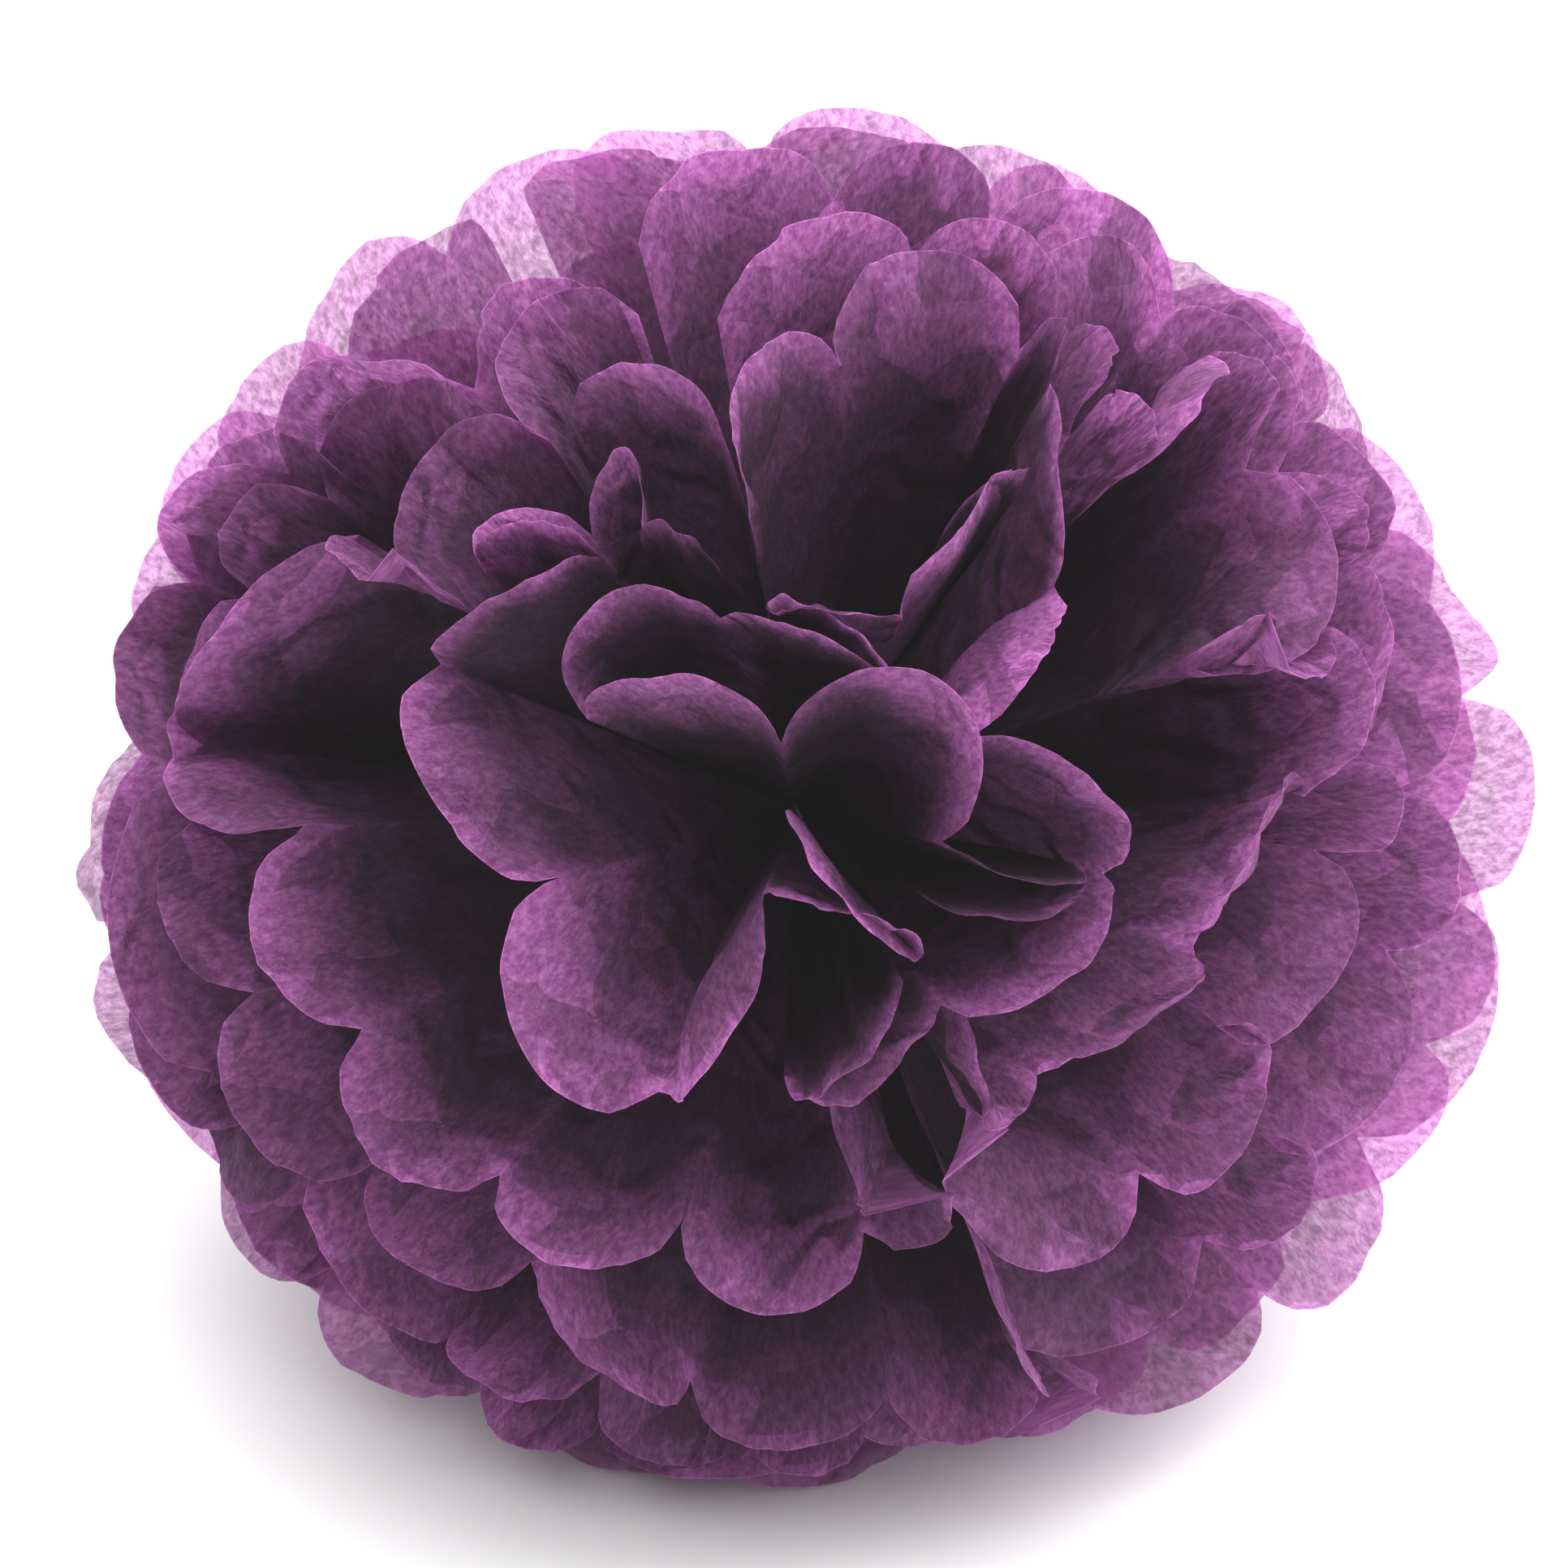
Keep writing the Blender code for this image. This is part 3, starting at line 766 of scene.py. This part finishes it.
def crinkled_normal(tree, paper, fibres):
    """Sharp little creases in the paper, and the relief of its fibres."""
    wrinkles = node(
        tree, "ShaderNodeTexNoise",
        Scale=WRINKLE_SCALE, Detail=2.0, Roughness=0.55, Distortion=0.8,
    )
    wrinkles.noise_type = "RIDGED_MULTIFRACTAL"
    tree.links.new(paper, wrinkles.inputs["Vector"])
    crinkle = node(tree, "ShaderNodeBump", Strength=1.0, Distance=WRINKLE_HEIGHT)
    tree.links.new(wrinkles.outputs["Fac"], crinkle.inputs["Height"])
    grain = node(tree, "ShaderNodeBump", Strength=1.0, Distance=FLECK_BUMP)
    tree.links.new(fibres, grain.inputs["Height"])
    tree.links.new(crinkle.outputs["Normal"], grain.inputs["Normal"])
    return grain.outputs["Normal"]


def tissue_material(name, thin):
    """Mauve tissue that light shines through: the thin one also has small clear places between its fibres."""
    material = bpy.data.materials.new(name)
    material.use_nodes = True
    tree = material.node_tree
    tree.nodes.clear()
    links = tree.links
    uv_map = node(tree, "ShaderNodeUVMap")
    uv_map.uv_map = "paper"
    paper = uv_map.outputs["UV"]
    streaks = [fibre_streaks(tree, paper, turn) for turn in STREAK_TURNS]
    flecks = joined(tree, "MAXIMUM", *streaks)
    colour = paper_colour(tree, paper, flecks)
    normal = crinkled_normal(tree, paper, streaks[0])
    through = node(tree, "ShaderNodeVectorMath")
    through.operation = "SCALE"
    through.inputs["Scale"].default_value = GLOW_GAIN
    links.new(colour, through.inputs[0])
    face = node(tree, "ShaderNodeBsdfPrincipled", Roughness=TISSUE_ROUGHNESS)
    glow = node(tree, "ShaderNodeBsdfTranslucent")
    links.new(colour, face.inputs["Base Color"])
    links.new(through.outputs["Vector"], glow.inputs["Color"])
    links.new(normal, face.inputs["Normal"])
    links.new(normal, glow.inputs["Normal"])
    mix = node(tree, "ShaderNodeMixShader")
    mix.inputs[0].default_value = TRANSLUCENCY
    links.new(face.outputs["BSDF"], mix.inputs[1])
    links.new(glow.outputs["BSDF"], mix.inputs[2])
    out = node(tree, "ShaderNodeOutputMaterial")
    if not thin:
        links.new(mix.outputs["Shader"], out.inputs["Surface"])
        return material
    holes = node(
        tree, "ShaderNodeMapRange",
        From_Min=FLECK_START, From_Max=FLECK_END, To_Min=CLEAR_LEAST, To_Max=CLEAR_MOST,
    )
    clear = node(tree, "ShaderNodeBsdfTransparent", Color=THROUGH_COLOUR)
    both = node(tree, "ShaderNodeMixShader")
    links.new(flecks, holes.inputs["Value"])
    links.new(holes.outputs["Result"], both.inputs[0])
    links.new(mix.outputs["Shader"], both.inputs[1])
    links.new(clear.outputs["BSDF"], both.inputs[2])
    links.new(both.outputs["Shader"], out.inputs["Surface"])
    return material


def wire_material():
    """Plain bright wire, faintly mottled."""
    material = bpy.data.materials.new("tie_wire")
    material.use_nodes = True
    tree = material.node_tree
    shader = tree.nodes["Principled BSDF"]
    shader.inputs["Metallic"].default_value = 1.0
    shader.inputs["Roughness"].default_value = WIRE_ROUGHNESS
    where = node(tree, "ShaderNodeTexCoord")
    streaks = node(tree, "ShaderNodeTexNoise", Scale=WIRE_STREAK_SCALE, Detail=2.0)
    ramp = node(tree, "ShaderNodeValToRGB")
    ramp.color_ramp.elements[0].color = WIRE_DARK
    ramp.color_ramp.elements[1].color = WIRE_LIGHT
    tree.links.new(where.outputs["Object"], streaks.inputs["Vector"])
    tree.links.new(streaks.outputs["Fac"], ramp.inputs["Fac"])
    tree.links.new(ramp.outputs["Color"], shader.inputs["Base Color"])
    return material


def floor_material():
    """White matt surface."""
    material = bpy.data.materials.new("white_surface")
    material.use_nodes = True
    shader = material.node_tree.nodes["Principled BSDF"]
    shader.inputs["Base Color"].default_value = FLOOR_WHITE
    shader.inputs["Roughness"].default_value = FLOOR_ROUGHNESS
    shader.inputs["Specular IOR Level"].default_value = FLOOR_GLOSS
    return material


def new_floor():
    """Large white surface under the ball."""
    half = FLOOR_HALF_WIDTH
    corners = [(-half, -half, 0.0), (half, -half, 0.0), (half, half, 0.0), (-half, half, 0.0)]
    floor = new_object("white_surface", corners, [(0, 1, 2, 3)], floor_material())
    light_floor(floor)


def add_lamp(name, place, power, width):
    """Soft round lamp that shines at the ball's foot."""
    lamp = bpy.data.lights.new(name, "AREA")
    lamp.shape = "DISK"
    lamp.size = width
    lamp.energy = power
    light = bpy.data.objects.new(name, lamp)
    light.location = place
    light.rotation_euler = (-Vector(place)).to_track_quat("-Z", "Y").to_euler()
    bpy.context.scene.collection.objects.link(light)
    return light


def new_lights():
    """Soft light from above, in surroundings that are bright behind the ball, dim in front and look white."""
    world = bpy.data.worlds.new("white_surroundings")
    world.use_nodes = True
    tree = world.node_tree
    background = tree.nodes["Background"]
    background.inputs["Color"].default_value = (1.0, 1.0, 1.0, 1.0)
    where = node(tree, "ShaderNodeTexCoord")
    toward = node(tree, "ShaderNodeVectorMath")
    toward.operation = "DOT_PRODUCT"
    toward.inputs[1].default_value = BRIGHT_SIDE
    fade = node(tree, "ShaderNodeMapRange", From_Min=DIM_END, From_Max=BRIGHT_END)
    fade.inputs["To Min"].default_value = FRONT_STRENGTH
    fade.inputs["To Max"].default_value = BACK_STRENGTH
    fade.interpolation_type = "SMOOTHSTEP"
    tree.links.new(where.outputs["Generated"], toward.inputs[0])
    tree.links.new(toward.outputs["Value"], fade.inputs["Value"])
    seen = node(tree, "ShaderNodeLightPath")
    backdrop = node(tree, "ShaderNodeMix")
    backdrop.data_type = "FLOAT"
    backdrop.inputs[3].default_value = BACKDROP_STRENGTH
    tree.links.new(seen.outputs["Is Camera Ray"], backdrop.inputs[0])
    tree.links.new(fade.outputs["Result"], backdrop.inputs[2])
    tree.links.new(backdrop.outputs[0], background.inputs["Strength"])
    bpy.context.scene.world = world
    add_lamp("overhead", LAMP_PLACE, LAMP_POWER, LAMP_WIDTH)


def light_floor(floor):
    """Lamp in front that reaches the floor alone, as the bright surroundings wash out the ball's shadow."""
    lamp = add_lamp("floor_wash", FLOOR_LAMP_PLACE, FLOOR_LAMP_POWER, FLOOR_LAMP_WIDTH)
    only_floor = bpy.data.collections.new("only_floor")
    only_floor.objects.link(floor)
    lamp.light_linking.receiver_collection = only_floor


def new_camera():
    """Camera on the pole's line, with the ball where the photograph has it."""
    focal_px = BALL_RADIUS_PX * math.sqrt(CAMERA_DISTANCE ** 2 - HALF_LENGTH ** 2) / HALF_LENGTH
    right, up, pole = pole_axes()
    centre = np.array([0.0, 0.0, CENTRE_HEIGHT])
    scale = CAMERA_DISTANCE / focal_px
    half = PICTURE_SIZE / 2
    aim = centre - right * (BALL_CENTRE_X - half) * scale + up * (BALL_CENTRE_Y - half) * scale
    lens = bpy.data.cameras.new("viewer")
    lens.sensor_width = SENSOR_WIDTH
    lens.lens = focal_px / PICTURE_SIZE * SENSOR_WIDTH
    lens.clip_end = VIEW_END
    camera = bpy.data.objects.new("viewer", lens)
    camera.location = centre + pole * CAMERA_DISTANCE
    look = Vector(aim) - Vector(camera.location)
    camera.rotation_euler = look.to_track_quat("-Z", "Y").to_euler()
    bpy.context.scene.collection.objects.link(camera)
    bpy.context.scene.camera = camera


def set_light_paths():
    """Bounces that the dim light among the petals needs."""
    paths = bpy.context.scene.cycles
    paths.max_bounces = LIGHT_BOUNCES
    paths.diffuse_bounces = LIGHT_BOUNCES
    paths.transmission_bounces = LIGHT_BOUNCES
    paths.transparent_max_bounces = CLEAR_BOUNCES


def set_picture():
    """Plain view of the light, with slightly lifted blacks."""
    settings = bpy.context.scene.view_settings
    settings.view_transform = "Standard"
    settings.use_curve_mapping = True
    settings.curve_mapping.black_level = (-BLACK_LIFT, -BLACK_LIFT, -BLACK_LIFT)
    settings.curve_mapping.update()


def main():
    """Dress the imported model."""
    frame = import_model()
    new_camera()
    new_lights()
    new_floor()
    deep_tissue = tissue_material("deep_tissue", thin=False)
    rim_tissue = tissue_material("rim_tissue", thin=True)
    for index in range(SHEET_COUNT):
        sheet = new_sheet(index, rim_tissue if index in THIN_SHEETS else deep_tissue)
        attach(sheet, "root")
        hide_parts(f"sheet_{index + 1:02d}")
    tie = frame["nodes"]["centre_tie"]
    tie.data.materials.clear()
    tie.data.materials.append(wire_material())
    set_light_paths()
    set_picture()


main()
